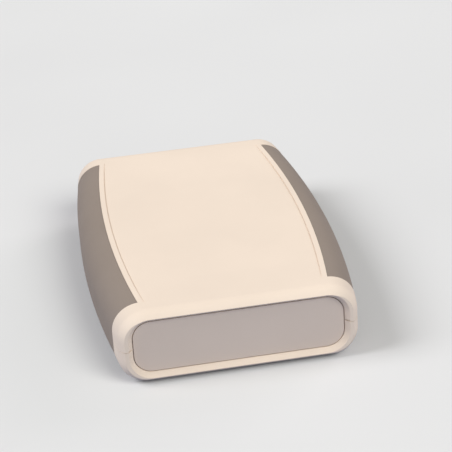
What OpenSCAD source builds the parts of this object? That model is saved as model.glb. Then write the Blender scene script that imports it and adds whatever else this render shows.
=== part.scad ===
// Handheld enclosure: two moulded half shells, two soft side grips and two end panels
// Width runs along X, length along Y with the front end at -Y, height along Z from the underside

/* [Body] */
// Length over both end collars, mm
body_l = 117; // [110:1:130]
// Width over the grips at mid length, mm
body_w = 79; // [76:0.5:88]
// Height from the underside to the rim of the top, mm
body_h = 23; // [22:0.5:27]
// How far each side bulges out from its ends to mid length, mm
side_bulge = 4.6; // [3:0.1:5.5]
// Radius of the four long edges, mm
edge_r = 8.4; // [8.1:0.1:9.6]
// Radius of the rounding towards both ends, mm
nose_r = 6; // [5:0.1:8]
// Length of that rounding, which stops at the end faces, mm
nose_l = 4.5; // [3.5:0.1:4.8]

/* [Walls] */
// Floor of the bottom shell, mm
floor_t = 2; // [1.6:0.1:2.6]
// Roof of the top shell at its rim, mm
roof_t = 2.5; // [2:0.1:3]
// Side walls behind the grips, mm
side_t = 1.7; // [1.4:0.1:2.2]

/* [Top face] */
// Width of the raised rim beside each grip, mm
rim_w = 1.6; // [1:0.1:3]
// Depth of the sunk top face, mm
sink_d = 0.3; // [0.2:0.05:0.8]
// Length of the ramp at each end of the sunk face, mm
sink_ramp = 12; // [4:0.5:16]
// Width of the fine line along both sides of the sunk face, mm
line_w = 0.3; // [0.2:0.05:0.8]
// Depth of that line below the sunk face, mm
line_d = 0.1; // [0.1:0.05:0.6]

/* [End openings] */
// Length of each end collar, mm
collar_l = 8.2; // [6.5:0.1:9]
// Thickness of the collar's sides at the end, outside the opening, mm
collar_side = 3.7; // [3.5:0.05:5]
// Thickness of the collar below the opening, mm
collar_floor = 3.4; // [2.6:0.05:4]
// Thickness of the collar above the opening, mm
collar_roof = 2.85; // [2.6:0.05:5]
// Thickness of the collar's rib behind the panel, mm
collar_rib = 1.5; // [1:0.1:2]
// Corner radius of the opening at the panel, mm
open_r = 5.6; // [5:0.1:6.4]
// How far the mouth flares out towards the end, mm
flare = 1.3; // [0.8:0.1:1.8]
// Width of the joint line that shows on the outside of the collars, mm
joint_line = 0.14; // [0.1:0.02:0.4]
// Width of the open joint line inside the flared mouth, mm
joint_notch = 0.4; // [0.2:0.05:0.6]
// Width of the land beside the opening where the collars meet, mm
joint_land = 0.6; // [0.4:0.1:1]

/* [End panels] */
// Depth of the panel's face behind the end, mm
panel_set = 1.6; // [1.3:0.1:2.6]
// Thickness of the panels at their raised face, mm
panel_t = 2; // [1.5:0.1:2.4]
// Height of the raised face above the flange round it, mm
face_h = 0.8; // [0.4:0.1:1]
// Gap round the raised face, mm
face_gap = 0.28; // [0.15:0.01:0.4]
// How far the panel reaches into its groove, mm
panel_lap = 1.1; // [0.8:0.1:1.5]
// Play of the panel in its groove, mm
panel_play = 0.08; // [0.04:0.01:0.15]

/* [Side grips] */
// Width of a grip on the top face, mm
grip_w = 8.1; // [7.4:0.05:8.6]
// Thickness of a grip, mm
grip_t = 2.2; // [1.8:0.1:2.6]
// How far the grips lie below the collars, mm
grip_set = 0.1; // [0.05:0.05:0.4]
// Gap between a grip and the shells, mm
grip_gap = 0.08; // [0.04:0.01:0.15]
// Distance of the anchor rib from the ends of its grip, mm
rib_end = 12; // [8:0.5:20]
// Thickness of the anchor rib's neck, mm
neck_t = 1.2; // [1:0.1:1.8]
// Height of the anchor rib's head, mm
head_h = 3; // [2.4:0.1:4]
// Thickness of the anchor rib's head, mm
head_t = 1; // [0.8:0.1:1.6]

/* [Screws and bosses] */
// Distance of the screws from the grips' inner edges, mm
screw_edge = 4.4; // [4:0.1:7]
// Distance of the screws from the ends of the body, mm
screw_end = 12; // [11.5:0.1:15]
// Radius of the screw shank, mm
shank_r = 1.5; // [1.2:0.05:1.7]
// Length of the screw shank, mm
shank_l = 12; // [9:0.5:13]
// Radius of the screw head, mm
screw_head_r = 2.75; // [2.2:0.05:3]
// Height of the screw head, mm
screw_head_h = 1.9; // [1.6:0.1:2.4]
// Height of the seats under the screw heads, mm
seat_z = 3; // [2.6:0.1:3.8]
// Radial gap round the screw heads, mm
head_gap = 0.35; // [0.2:0.05:0.5]
// Radial gap of the screw holes in the bottom bosses, mm
hole_gap = 0.2; // [0.1:0.05:0.3]
// Radial gap between a screw and its pillar, mm
pilot_gap = 0.05; // [0.03:0.01:0.1]
// Depth of the pillar's hole past the end of the screw, mm
pilot_spare = 1; // [0.5:0.1:1.5]
// Wall of the pillars in the top shell round the screw, mm
pillar_t = 1.65; // [1.3:0.05:2]
// Depth of the sockets that take the pillars, mm
socket_d = 2; // [1.2:0.1:3]
// Radial gap between a pillar and its socket, mm
socket_gap = 0.1; // [0.05:0.01:0.15]
// Wall round each socket, mm
socket_t = 1; // [0.8:0.1:1.3]
// Width of the cross slot in the screw heads, mm
cross_w = 0.9; // [0.6:0.1:1.1]
// Length of the cross slot, mm
cross_l = 3.2; // [2.4:0.1:3.8]
// Depth of the cross slot, mm
cross_d = 1; // [0.6:0.1:1.3]

/* [Board posts] */
// Distance between the posts across the body, mm
post_dx = 46; // [36:1:48]
// Distance between the posts along the body, mm
post_dy = 66; // [50:1:72]
// Height of the post tops, mm
post_z = 6; // [5:0.5:8]
// Radius of the posts, mm
post_r = 2.6; // [2:0.1:3]
// Radius of the pilot holes in the posts, mm
post_hole_r = 1.1; // [0.8:0.05:1.3]
// Depth of the pilot holes in the posts, mm
post_hole_d = 3.8; // [3:0.2:4]

/* [Hidden] */
$fn = 96;
// Facets of the wide side curves when they are shown as a mesh
side_fn = 720;
// Amount by which cutting solids pass the faces they cut
past = 1;
half_l = body_l / 2;
// Radius of the sides in plan, and the X of the right side's centre
side_r = (half_l * half_l + side_bulge * side_bulge) / (2 * side_bulge);
centre_x = body_w / 2 + grip_set - side_r;
// Half width of the shells' outer form at a place along the body
function half_w(y) = centre_x + sqrt(side_r * side_r - y * y);
// Grips: half length of their pocket, depth of the pocket, and depth of the wall behind it
grip_half_l = half_l - collar_l;
rib_half_l = grip_half_l - rib_end;
pocket_d = grip_set + grip_t + grip_gap;
wall_d = pocket_d + side_t;
// Ends: place and half width where the rounding starts, and the opening at the panel
nose_y = half_l - nose_l;
nose_half_w = half_w(nose_y);
// The rounding's outer form stands this far outside the sides and faces, so that it crosses them
nose_proud = 0.01;
open_half_w = half_w(half_l) - collar_side;
open_z0 = collar_floor;
open_z1 = body_h - collar_roof;
// Centres of the opening's corners, which the panel and its groove share
corner_x = open_half_w - open_r;
corner_z0 = open_z0 + open_r;
corner_z1 = open_z1 - open_r;
panel_y = half_l - panel_set;
seat_y = panel_y - face_h;
groove_y = panel_y - panel_t - panel_play;
groove_r = open_r + panel_lap + panel_play;
// Inside of the shells, which part at mid height
joint_z = body_h / 2;
cavity_half_l = groove_y - collar_rib;
cavity_r = edge_r - wall_d;
roof_z = body_h - roof_t;
// Screws, the pillars they hold and the bosses they pass
screw_y = half_l - screw_end;
screw_x = half_w(screw_y) - grip_w - screw_edge;
pilot_r = shank_r + pilot_gap;
pilot_top = seat_z + shank_l + pilot_spare;
pillar_r = pilot_r + pillar_t;
socket_z = joint_z - socket_d;
socket_r = pillar_r + socket_gap;
boss_r = socket_r + socket_t;
// Colours
ivory = [0.90, 0.85, 0.78];
soft_grey = [0.55, 0.51, 0.48];
panel_grey = [0.66, 0.63, 0.62];
steel = [0.62, 0.63, 0.65];

// Section of a disc with rounded outer edges, from its axis outwards
module disc_section(r, z0, z1, c) {
    translate([0, z0])
        square([r - c, z1 - z0]);
    translate([0, z0 + c])
        square([r, z1 - z0 - 2 * c]);
    if (c > 0)
        for (z = [z0 + c, z1 - c])
            translate([r - c, z])
                circle(c);
}

// Solid of revolution about the centre of the right side
module right_turned() {
    translate([centre_x, 0, 0])
        rotate_extrude($fn = side_fn)
            children();
}

// Barrel in plan, an even inset inside both sides of the body
module barrel(inset, z0, z1, c) {
    intersection() {
        right_turned()
            disc_section(side_r - inset, z0, z1, c);
        mirror([1, 0, 0])
            right_turned()
                disc_section(side_r - inset, z0, z1, c);
    }
}

// Slab across the body, the same length to both sides of the middle
module slab(y) {
    translate([-body_w, -y, -past])
        cube([2 * body_w, 2 * y, body_h + 2 * past]);
}

// Copies at both ends of the body
module both_ends() {
    children();
    mirror([0, 1, 0])
        children();
}

// Copies at the four corners of a rectangle about the middle
module four_corners(x, y) {
    for (sx = [-1, 1], sy = [-1, 1])
        translate([sx * x, sy * y, 0])
            children();
}

// Rounded rectangle run along Y, its outer surface following the child's outline
// The child has the distance from the corner's centre along X, and the place along the body along Y
module round_run(x, z0, z1, y0, y1) {
    translate([-x, y0, z0])
        cube([2 * x, y1 - y0, z1 - z0]);
    for (side = [0, 1])
        mirror([side, 0, 0]) {
            translate([x, 0, z0])
                linear_extrude(z1 - z0)
                    children();
            translate([x, 0, z1])
                rotate([-90, 0, 0])
                    rotate_extrude(angle = -90)
                        children();
            translate([x, 0, z0])
                rotate([-90, 0, 0])
                    rotate_extrude(angle = 90)
                        children();
        }
    translate([x, 0, z1])
        rotate([0, -90, 0])
            linear_extrude(2 * x)
                children();
    translate([-x, 0, z0])
        rotate([0, 90, 0])
            linear_extrude(2 * x)
                children();
}

// Outline of the body's rounded ends, out from the corner's centre
module nose_outline() {
    r = edge_r + nose_proud;
    intersection() {
        translate([0, -half_l])
            square([r, body_l]);
        union() {
            translate([0, -half_l])
                square([r - nose_r, body_l]);
            translate([0, -nose_y])
                square([r, 2 * nose_y]);
            for (s = [-1, 1])
                translate([r - nose_r, s * nose_y])
                    circle(nose_r);
        }
    }
}

// The whole outer form, barrel sided with rounded ends
module outer_body() {
    intersection() {
        barrel(0, 0, body_h, edge_r);
        slab(half_l);
        union() {
            slab(nose_y);
            round_run(nose_half_w - edge_r, edge_r, body_h - edge_r, -half_l, half_l)
                nose_outline();
        }
    }
}

// What the grips lie in, round both sides of the body between the collars
module grip_pockets() {
    difference() {
        slab(grip_half_l);
        barrel(pocket_d, pocket_d, body_h - pocket_d, edge_r - pocket_d);
        barrel(grip_w, -2 * past, body_h + 2 * past, 0);
    }
}

// Hollow of the case, stepped in behind the grips
module cavity() {
    intersection() {
        slab(cavity_half_l);
        union() {
            barrel(wall_d, wall_d, body_h - wall_d, cavity_r);
            barrel(grip_w + side_t, floor_t, roof_z, 0);
        }
    }
}

// Flared mouth, panel groove and inner opening of the rear end
module end_cuts() {
    mouth_y = half_l + past;
    mouth_r = open_r + flare * (panel_set + past) / panel_set;
    inner_y = cavity_half_l - past;
    round_run(corner_x, corner_z0, corner_z1, panel_y, mouth_y)
        polygon([[0, panel_y], [open_r, panel_y], [mouth_r, mouth_y], [0, mouth_y]]);
    round_run(corner_x, corner_z0, corner_z1, seat_y, panel_y)
        translate([0, seat_y])
            square([open_r, panel_y - seat_y]);
    round_run(corner_x, corner_z0, corner_z1, groove_y, seat_y)
        translate([0, groove_y])
            square([groove_r, seat_y - groove_y]);
    round_run(corner_x, corner_z0, corner_z1, inner_y, groove_y)
        translate([0, inner_y])
            square([open_r, groove_y - inner_y]);
}

// Slots for the anchor ribs of the grips, where the shells meet
module rib_slots() {
    h = neck_t + 2 * grip_gap;
    intersection() {
        slab(rib_half_l + grip_gap);
        difference() {
            barrel(pocket_d - past / 2, joint_z - h / 2, joint_z + h / 2, 0);
            barrel(wall_d + past / 2, joint_z - h, joint_z + h, 0);
        }
    }
}

// Walls that both half shells share, before they are parted
module shell_walls() {
    difference() {
        outer_body();
        grip_pockets();
        cavity();
        both_ends()
            end_cuts();
        rib_slots();
    }
}

// Space above the sunk face, with a ramp at each end, lowered by an even amount
module sink_space(lower) {
    flat_y = grip_half_l - sink_ramp;
    end_y = grip_half_l + sink_ramp * past / sink_d;
    translate([0, 0, -lower])
        rotate([90, 0, 90])
            linear_extrude(2 * body_w, center = true)
                polygon([
                    [-flat_y, body_h - sink_d],
                    [flat_y, body_h - sink_d],
                    [end_y, body_h + past],
                    [-end_y, body_h + past]
                ]);
}

// Sunk top face, with a fine line along both sides
module top_sink() {
    edge_d = grip_w + rim_w;
    intersection() {
        barrel(edge_d, roof_z, body_h + past, 0);
        sink_space(0);
    }
    intersection() {
        slab(grip_half_l);
        sink_space(line_d);
        difference() {
            barrel(edge_d, roof_z, body_h + past, 0);
            barrel(edge_d + line_w, roof_z - past, body_h + 2 * past, 0);
        }
    }
}

// Joint line round the collars, outside the land where the shells meet, and wider in the mouth
module joint_lines() {
    for (sx = [0, 1])
        mirror([sx, 0, 0])
            both_ends() {
                translate([open_half_w + joint_land, grip_half_l, joint_z])
                    cube([body_w, collar_l + past, joint_line]);
                translate([corner_x, panel_y, joint_z])
                    cube([open_r + flare, panel_set + past, joint_notch]);
            }
}

module top_shell() {
    color(ivory)
        difference() {
            union() {
                intersection() {
                    shell_walls();
                    translate([-body_w, -body_l, joint_z])
                        cube([2 * body_w, 2 * body_l, body_h]);
                }
                four_corners(screw_x, screw_y)
                    translate([0, 0, socket_z])
                        cylinder(r = pillar_r, h = roof_z + roof_t / 2 - socket_z);
            }
            top_sink();
            joint_lines();
            four_corners(screw_x, screw_y)
                translate([0, 0, socket_z - past])
                    cylinder(r = pilot_r, h = pilot_top - socket_z + past);
        }
}

module bottom_shell() {
    color(ivory)
        difference() {
            union() {
                intersection() {
                    shell_walls();
                    translate([-body_w, -body_l, joint_z - body_h])
                        cube([2 * body_w, 2 * body_l, body_h]);
                }
                four_corners(screw_x, screw_y)
                    translate([0, 0, floor_t / 2])
                        cylinder(r = boss_r, h = joint_z - floor_t / 2);
                four_corners(post_dx / 2, post_dy / 2)
                    translate([0, 0, floor_t / 2])
                        cylinder(r = post_r, h = post_z - floor_t / 2);
            }
            four_corners(screw_x, screw_y) {
                translate([0, 0, -past])
                    cylinder(r = screw_head_r + head_gap, h = seat_z + past);
                cylinder(r = shank_r + hole_gap, h = joint_z);
                translate([0, 0, socket_z])
                    cylinder(r = socket_r, h = socket_d + past);
            }
            four_corners(post_dx / 2, post_dy / 2)
                translate([0, 0, post_z - post_hole_d])
                    cylinder(r = post_hole_r, h = post_hole_d + past);
        }
}

// Flat plate held by its flange in the groove of the rear end
module end_panel() {
    color(panel_grey)
        round_run(corner_x, corner_z0, corner_z1, panel_y - panel_t, panel_y)
            translate([0, panel_y - panel_t]) {
                square([open_r + panel_lap, panel_t - face_h]);
                square([open_r - face_gap, panel_t]);
            }
}

module rear_panel() {
    end_panel();
}

module front_panel() {
    mirror([0, 1, 0])
        end_panel();
}

// Soft sleeve of the right side, with the rib that the shells clamp
module side_grip() {
    inner_d = grip_set + grip_t;
    edge_x = side_r - grip_w + grip_gap;
    end_y = grip_half_l - grip_gap;
    head_x = side_r - wall_d - grip_gap - head_t;
    neck_l = side_r - inner_d + grip_t / 2 - head_x;
    color(soft_grey)
        union() {
            intersection() {
                right_turned()
                    difference() {
                        disc_section(side_r - grip_set, grip_set, body_h - grip_set, edge_r - grip_set);
                        disc_section(side_r - inner_d, inner_d, body_h - inner_d, edge_r - inner_d);
                        translate([0, -past])
                            square([edge_x, body_h + 2 * past]);
                    }
                translate([0, -end_y, 0])
                    cube([body_w, 2 * end_y, body_h]);
            }
            intersection() {
                right_turned() {
                    translate([head_x, joint_z - head_h / 2])
                        square([head_t, head_h]);
                    translate([head_x, joint_z - neck_t / 2])
                        square([neck_l, neck_t]);
                }
                translate([0, -rib_half_l, 0])
                    cube([body_w, 2 * rib_half_l, body_h]);
            }
        }
}

module right_grip() {
    side_grip();
}

module left_grip() {
    mirror([1, 0, 0])
        side_grip();
}

// Four pan head screws with cross slots, driven up from the underside
module case_screws() {
    head_z = seat_z - screw_head_h;
    color(steel)
        four_corners(screw_x, screw_y)
            difference() {
                union() {
                    translate([0, 0, head_z])
                        cylinder(r = screw_head_r, h = screw_head_h);
                    translate([0, 0, head_z + screw_head_h / 2])
                        cylinder(r = shank_r, h = shank_l + screw_head_h / 2);
                }
                for (turn = [0, 90])
                    rotate(turn)
                        translate([-cross_l / 2, -cross_w / 2, head_z - past])
                            cube([cross_l, cross_w, cross_d + past]);
            }
}

top_shell();
bottom_shell();
front_panel();
rear_panel();
left_grip();
right_grip();
case_screws();
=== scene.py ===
import bpy
import math
from mathutils import Matrix, Vector


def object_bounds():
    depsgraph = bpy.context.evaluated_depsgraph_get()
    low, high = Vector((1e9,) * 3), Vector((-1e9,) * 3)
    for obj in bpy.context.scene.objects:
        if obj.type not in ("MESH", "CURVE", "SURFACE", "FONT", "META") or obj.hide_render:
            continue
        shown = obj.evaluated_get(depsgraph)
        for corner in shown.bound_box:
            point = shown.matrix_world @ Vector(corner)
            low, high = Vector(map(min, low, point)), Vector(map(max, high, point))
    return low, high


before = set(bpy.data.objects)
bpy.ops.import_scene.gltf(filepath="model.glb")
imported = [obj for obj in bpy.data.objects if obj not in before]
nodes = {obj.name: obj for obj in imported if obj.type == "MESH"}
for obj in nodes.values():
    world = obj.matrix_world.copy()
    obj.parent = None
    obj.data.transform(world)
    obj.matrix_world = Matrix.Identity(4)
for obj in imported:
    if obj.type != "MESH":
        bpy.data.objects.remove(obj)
cad_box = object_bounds()
scene = bpy.context.scene
scene.view_settings.view_transform = "Standard"

# Colours of the case, as linear values
IVORY = (0.86, 0.73, 0.62)
PANEL_GREY = (0.7, 0.592, 0.523)
GRIP_GREY = (0.296, 0.243, 0.209)
STEEL = (0.6, 0.6, 0.62)

# Marks on every moulding, in metres: slow drift of colour, patches of gloss and waves from the mould's flow
DRIFT_SIZE = 0.028
GLOSS_SIZE = 0.009
FLOW_SIZE = 0.012
FLOW_DEPTH = 0.00004
# Strength of the waves, and how far the roughness strays to each side
FLOW_STRENGTH = 0.5
GLOSS_SPREAD = 0.05

# Marks on the screws, in metres: stains, patches of polish and a fine unevenness
STAIN_SIZE = 0.004
POLISH_SIZE = 0.0011
UNEVEN_SIZE = 0.0002
UNEVEN_DEPTH = 0.000004
# Darkest and lightest share of the steel's colour, and the range of its roughness
STAIN_TONES = (0.92, 1.05)
POLISH_ROUGHNESS = (0.24, 0.42)

# Floor, in metres: it lies just under the case, so that the two faces don't coincide
FLOOR_SPAN = 6.0
FLOOR_DROP = 0.0002
FLOOR_CLOUD_SIZE = 0.2
# Its colours where it is seen, the colour of the light that it passes on, and its roughness
FLOOR_DARK = (0.74, 0.74, 0.75)
FLOOR_LIGHT = (0.78, 0.78, 0.79)
FLOOR_BOUNCE = (0.33, 0.37, 0.5)
FLOOR_ROUGHNESS = 0.9

# Surroundings: strength as light on the case, and strength where they are looked at
SKY = (0.97, 0.98, 1.0)
SKY_AS_LIGHT = 0.28
SKY_AS_SEEN = 0.7

# Width of every softbox in degrees, as the case sees it
SOFTBOX_WIDTH = 33.0

# Camera at the photograph's angle, fitted to its outlines: degrees and metres
CAMERA_AZIMUTH = -8.47
CAMERA_ELEVATION = 26.22
CAMERA_ROLL = -3.8
CAMERA_DISTANCE = 0.54162
# Where the middle of the case lies in the picture, right of its centre and above it
CASE_RIGHT = -0.00607
CASE_ABOVE = -0.00728
# Focal length and picture width in pixels, and the sensor's width in millimetres
FOCAL_PIXELS = 1695.12
PICTURE_PIXELS = 452.0
SENSOR_WIDTH = 36.0
# Nearest and farthest distance in view, in metres
CLIP_NEAR = 0.01
CLIP_FAR = 20.0


def direction(azimuth, elevation):
    """Unit vector from the case, in degrees: azimuth 0 is the front, 90 the right."""
    turn = math.radians(azimuth)
    rise = math.radians(elevation)
    return Vector((math.sin(turn) * math.cos(rise), -math.cos(turn) * math.cos(rise), math.sin(rise)))


def node_tree(name):
    """A new material's tree, its shader and its object coordinates, in metres."""
    material = bpy.data.materials.new(name)
    material.use_nodes = True
    tree = material.node_tree
    shader = tree.nodes["Principled BSDF"]
    coords = tree.nodes.new("ShaderNodeTexCoord").outputs["Object"]
    return material, tree, shader, coords


def noise(tree, coords, size, detail=2.0, roughness=0.5):
    """Noise whose marks are about size metres across."""
    node = tree.nodes.new("ShaderNodeTexNoise")
    node.inputs["Scale"].default_value = 1.0 / size
    node.inputs["Detail"].default_value = detail
    node.inputs["Roughness"].default_value = roughness
    tree.links.new(coords, node.inputs["Vector"])
    return node.outputs["Fac"]


def ramp(tree, factor, low, high, at=(0.3, 0.7)):
    """A factor mapped to a range of colours or greys."""
    node = tree.nodes.new("ShaderNodeValToRGB")
    for element, position, colour in zip(node.color_ramp.elements, at, (low, high)):
        element.position = position
        element.color = (*colour, 1.0) if isinstance(colour, tuple) else (colour, colour, colour, 1.0)
    tree.links.new(factor, node.inputs["Fac"])
    return node.outputs["Color"]


def bump(tree, height, depth, strength=1.0, under=None):
    """Relief of the given depth in metres, on top of the relief under it if there is one."""
    node = tree.nodes.new("ShaderNodeBump")
    node.inputs["Strength"].default_value = strength
    node.inputs["Distance"].default_value = depth
    tree.links.new(height, node.inputs["Height"])
    if under is not None:
        tree.links.new(under, node.inputs["Normal"])
    return node.outputs["Normal"]


def seen(tree):
    """1 where the camera, a reflection or glass looks, 0 where light is passed on."""
    path = tree.nodes.new("ShaderNodeLightPath").outputs
    total = path["Is Camera Ray"]
    for kind in ("Is Glossy Ray", "Is Transmission Ray"):
        most = tree.nodes.new("ShaderNodeMath")
        most.operation = "MAXIMUM"
        tree.links.new(total, most.inputs[0])
        tree.links.new(path[kind], most.inputs[1])
        total = most.outputs[0]
    return total


def tone(colour, share):
    """A colour made darker or lighter."""
    return tuple(channel * share for channel in colour)


def moulded(name, colour, roughness, grain_size, grain_depth, specular, spread=0.02):
    """Moulded plastic or rubber: fine grain, slow colour drift and patchy gloss."""
    material, tree, shader, coords = node_tree(name)
    drift = noise(tree, coords, DRIFT_SIZE, detail=3.0)
    base = ramp(tree, drift, tone(colour, 1.0 - spread), tone(colour, 1.0 + spread))
    tree.links.new(base, shader.inputs["Base Color"])
    patches = noise(tree, coords, GLOSS_SIZE, detail=4.0, roughness=0.6)
    gloss = ramp(tree, patches, roughness - GLOSS_SPREAD, roughness + GLOSS_SPREAD)
    tree.links.new(gloss, shader.inputs["Roughness"])
    flow = bump(tree, noise(tree, coords, FLOW_SIZE, detail=1.0), FLOW_DEPTH, FLOW_STRENGTH)
    grain = noise(tree, coords, grain_size, detail=3.0, roughness=0.65)
    normal = bump(tree, grain, grain_depth, under=flow)
    tree.links.new(normal, shader.inputs["Normal"])
    shader.inputs["Specular IOR Level"].default_value = specular
    return material


def bright_steel(name, colour):
    """Bright steel, faintly stained, with patchy polish and a fine unevenness."""
    material, tree, shader, coords = node_tree(name)
    shader.inputs["Metallic"].default_value = 1.0
    darker, lighter = (tone(colour, share) for share in STAIN_TONES)
    base = ramp(tree, noise(tree, coords, STAIN_SIZE, detail=3.0), darker, lighter)
    tree.links.new(base, shader.inputs["Base Color"])
    gloss = ramp(tree, noise(tree, coords, POLISH_SIZE, detail=4.0), *POLISH_ROUGHNESS)
    tree.links.new(gloss, shader.inputs["Roughness"])
    normal = bump(tree, noise(tree, coords, UNEVEN_SIZE), UNEVEN_DEPTH)
    tree.links.new(normal, shader.inputs["Normal"])
    return material


def floor_paper(name):
    """Pale paper that passes on little light, so that the sides of the case keep their shade."""
    material, tree, shader, coords = node_tree(name)
    base = ramp(tree, noise(tree, coords, FLOOR_CLOUD_SIZE), FLOOR_DARK, FLOOR_LIGHT)
    mix = tree.nodes.new("ShaderNodeMix")
    mix.data_type = "RGBA"
    mix.inputs["A"].default_value = (*FLOOR_BOUNCE, 1.0)
    tree.links.new(seen(tree), mix.inputs["Factor"])
    tree.links.new(base, mix.inputs["B"])
    tree.links.new(mix.outputs["Result"], shader.inputs["Base Color"])
    shader.inputs["Roughness"].default_value = FLOOR_ROUGHNESS
    shader.inputs["Specular IOR Level"].default_value = 0.0
    return material


def surroundings(name):
    """A plain pale sky that lights the case softly and is seen brighter."""
    world = bpy.data.worlds.new(name)
    world.use_nodes = True
    tree = world.node_tree
    background = tree.nodes["Background"]
    background.inputs["Color"].default_value = (*SKY, 1.0)
    level = tree.nodes.new("ShaderNodeMapRange")
    level.inputs["To Min"].default_value = SKY_AS_LIGHT
    level.inputs["To Max"].default_value = SKY_AS_SEEN
    tree.links.new(seen(tree), level.inputs["Value"])
    tree.links.new(level.outputs["Result"], background.inputs["Strength"])
    return world


def softbox(name, azimuth, elevation, strength, colour):
    """A softbox far away in a direction from the case, so that its light is even over the floor."""
    light = bpy.data.lights.new(name, "SUN")
    light.angle = math.radians(SOFTBOX_WIDTH)
    light.energy = strength
    light.color = colour
    lamp = bpy.data.objects.new(name, light)
    scene.collection.objects.link(lamp)
    towards = direction(azimuth, elevation)
    lamp.location = towards
    lamp.rotation_euler = (-towards).to_track_quat("-Z", "Y").to_euler()


# Finish of every node
ivory = moulded("ivory_plastic", IVORY, roughness=0.6,
                grain_size=0.0004, grain_depth=0.00003, specular=0.1)
panel = moulded("panel_plastic", PANEL_GREY, roughness=0.55,
                grain_size=0.0004, grain_depth=0.000025, specular=0.35)
grip = moulded("grip_rubber", GRIP_GREY, roughness=0.75,
               grain_size=0.0005, grain_depth=0.00008, specular=0.2, spread=0.03)
steel = bright_steel("screw_steel", STEEL)
finish = {
    "top_shell": ivory,
    "bottom_shell": ivory,
    "front_panel": panel,
    "rear_panel": panel,
    "left_grip": grip,
    "right_grip": grip,
    "case_screws": steel,
}
for name, material in finish.items():
    slots = nodes[name].data.materials
    slots.clear()
    slots.append(material)

# Floor, plain and pale
bpy.ops.mesh.primitive_plane_add(size=FLOOR_SPAN, location=(0.0, 0.0, -FLOOR_DROP))
floor = bpy.context.object
floor.name = "floor"
floor.data.materials.append(floor_paper("floor_paper"))

# Soft studio light
scene.world = surroundings("studio")
softbox("left", azimuth=-90.0, elevation=42.0, strength=1.76, colour=(1.0, 1.0, 1.0))
softbox("right", azimuth=30.0, elevation=42.0, strength=1.58, colour=(1.0, 1.0, 0.93))
softbox("rear", azimuth=120.0, elevation=22.0, strength=0.52, colour=(1.0, 0.92, 0.95))

# Camera: level axes first, then rolled about the line of sight
back = direction(CAMERA_AZIMUTH, CAMERA_ELEVATION)
level_across = (-back).cross(Vector((0.0, 0.0, 1.0))).normalized()
level_above = level_across.cross(-back)
roll = math.radians(CAMERA_ROLL)
across = level_across * math.cos(roll) + level_above * math.sin(roll)
above = level_above * math.cos(roll) - level_across * math.sin(roll)
middle = (cad_box[0] + cad_box[1]) / 2.0
place = middle - across * CASE_RIGHT - above * CASE_ABOVE + back * CAMERA_DISTANCE
axes = Matrix((across, above, back)).transposed()
camera = bpy.data.objects.new("camera", bpy.data.cameras.new("camera"))
scene.collection.objects.link(camera)
camera.data.sensor_width = SENSOR_WIDTH
camera.data.lens = SENSOR_WIDTH * FOCAL_PIXELS / PICTURE_PIXELS
camera.data.clip_start = CLIP_NEAR
camera.data.clip_end = CLIP_FAR
camera.matrix_world = Matrix.Translation(place) @ axes.to_4x4()
scene.camera = camera
